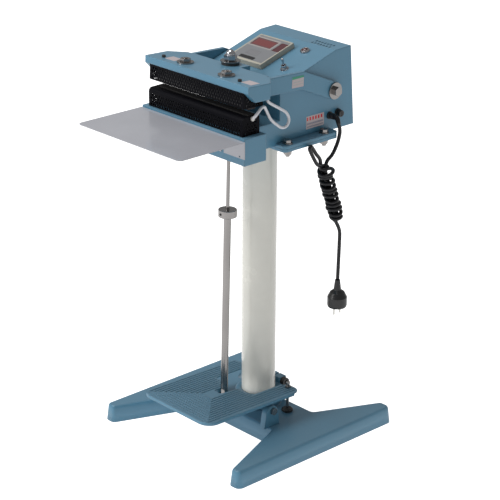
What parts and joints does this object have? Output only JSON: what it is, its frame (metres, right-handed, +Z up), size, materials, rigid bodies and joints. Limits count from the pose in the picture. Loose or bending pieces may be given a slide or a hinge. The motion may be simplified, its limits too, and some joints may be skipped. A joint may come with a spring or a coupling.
{
  "type": "foot-operated heat sealer",
  "caption": "Pedal-operated heat sealer on a pole stand: hinged upper jaw over a fixed lower jaw with work table, sloping control cabinet, pull rod and mains cord.",
  "frame": {"origin": "on the floor, on the pole's axis", "axes": "+Z up along the pole, +X to the operator's right, +Y from the jaws towards the back of the machine"},
  "size_m": [0.474, 0.6023, 0.9232],
  "materials": {
    "casting": "semi-gloss blue-grey paint on a casting",
    "pole_paint": "glossy cream powder coat",
    "steel": "bright zinc and machined steel",
    "dark_steel": "black oxide",
    "chrome": "polished chrome",
    "guard_paint": "black, perforated sheet",
    "bar_metal": "satin",
    "silicone": "off-white silicone rubber",
    "release_cloth": "brown coated glass cloth",
    "bezel": "beige moulding",
    "display": "grey window",
    "red_window": "dark red window",
    "black_plastic": "black moulding",
    "lamp_glass": "dark red lens",
    "label": "blank pale label",
    "ceramic_white": "white ceramic bush",
    "lead_sleeve": "white woven sleeve",
    "cord_jacket": "black mains cord",
    "pin_metal": "bright plug pins",
    "black_rubber": "black rubber buffer",
    "table_paint": "light grey, glossy"
  },
  "bodies": {
    "stand": {"base": "casting", "pedal_lugs": "casting", "cabinet": "casting", "mounting_flange": "casting", "lower_beam": "casting", "seat_plate": "casting", "pole": "pole_paint", "flange_bolts": "steel", "flange_washers": "steel", "flange_nuts": "steel", "jaw_pivot_bolts": "steel", "jaw_pivot_washers": "steel", "jaw_pivot_spacers": "steel", "pedal_pivot_bolts": "steel", "clamp_bolt": "dark_steel", "table_screws": "dark_steel", "lamp_ring": "chrome", "toggle_body": "chrome", "lower_guard": "guard_paint", "lower_bar": "bar_metal", "lower_strip": "silicone", "controller": "bezel", "main_display": "display", "red_display": "red_window", "gland": "black_plastic", "fuse_holder": "black_plastic", "plug": "black_plastic", "lamp_lens": "lamp_glass", "side_label": "label", "lead_sockets": "ceramic_white", "heater_lead": "lead_sleeve", "power_cord": "cord_jacket", "cord_bundle": "cord_jacket", "plug_pins": "pin_metal"},
    "jaw": {"jaw": "casting", "upper_guard": "guard_paint", "upper_bar": "bar_metal", "upper_strip": "release_cloth", "stud_nuts": "steel", "stud_washers": "steel", "cap_screws": "dark_steel", "jaw_labels": "label", "arm_label": "label", "lead_clip": "ceramic_white", "rod_spacer": "black_rubber", "rod_washer": "steel"},
    "pull_rod": {"upper_rod": "steel", "dome_nut": "chrome", "collar": "steel", "collar_screw": "dark_steel", "lower_tube": "steel"},
    "pedal": {"pedal": "casting", "pedal_pin": "steel", "stop_bolt": "steel", "stop_nut": "steel", "stop_foot": "black_rubber"},
    "table": {"table": "table_paint"},
    "toggle_lever": {"toggle_lever": "chrome"},
    "fuse_cap": {"fuse_cap": "black_plastic"},
    "controller_key": {"controller_key": "black_plastic"}
  },
  "joints": [
    {"name": "jaw_hinge", "type": "hinge", "parent": "stand", "child": "jaw", "pos_m": [0, 0.1, 0.821], "axis": [1, 0, 0], "range_deg": [0, 2.4], "deforming": ["heater_lead"]},
    {"name": "rod_hinge", "type": "hinge", "parent": "jaw", "child": "pull_rod", "pos_m": [0, -0.09057, 0.89975], "axis": [1, 0, 0], "range_deg": [-2.23, 0]},
    {"name": "pedal_hinge", "type": "hinge", "parent": "stand", "child": "pedal", "pos_m": [0, -0.066, 0.08], "axis": [1, 0, 0], "range_deg": [0, 10.5], "stiffness_Nm_per_rad": 9, "springref_deg": -25.78},
    {"name": "table_slide", "type": "slide", "parent": "stand", "child": "table", "axis": [0, 0, 1], "range_m": [0, 0.008]},
    {"name": "toggle_tilt", "type": "hinge", "parent": "stand", "child": "toggle_lever", "pos_m": [0.071, 0.004, 0.87964], "axis": [1, 0, 0], "range_deg": [-12, 12]},
    {"name": "fuse_cap_turn", "type": "hinge", "parent": "stand", "child": "fuse_cap", "pos_m": [0.1258, 0.123, 0.763], "axis": [1, 0, 0], "range_deg": [0, 60]},
    {"name": "key_press", "type": "slide", "parent": "stand", "child": "controller_key", "axis": [0, 0.294, -0.9558], "range_m": [0, 0.0008], "stiffness_N_per_m": 400, "springref_m": -0.0005}
  ],
  "couplings": [
    {"joint": "rod_hinge", "follows": "jaw_hinge", "ratio": -0.93},
    {"joint": "pedal_hinge", "follows": "jaw_hinge", "ratio": 4.37}
  ]
}
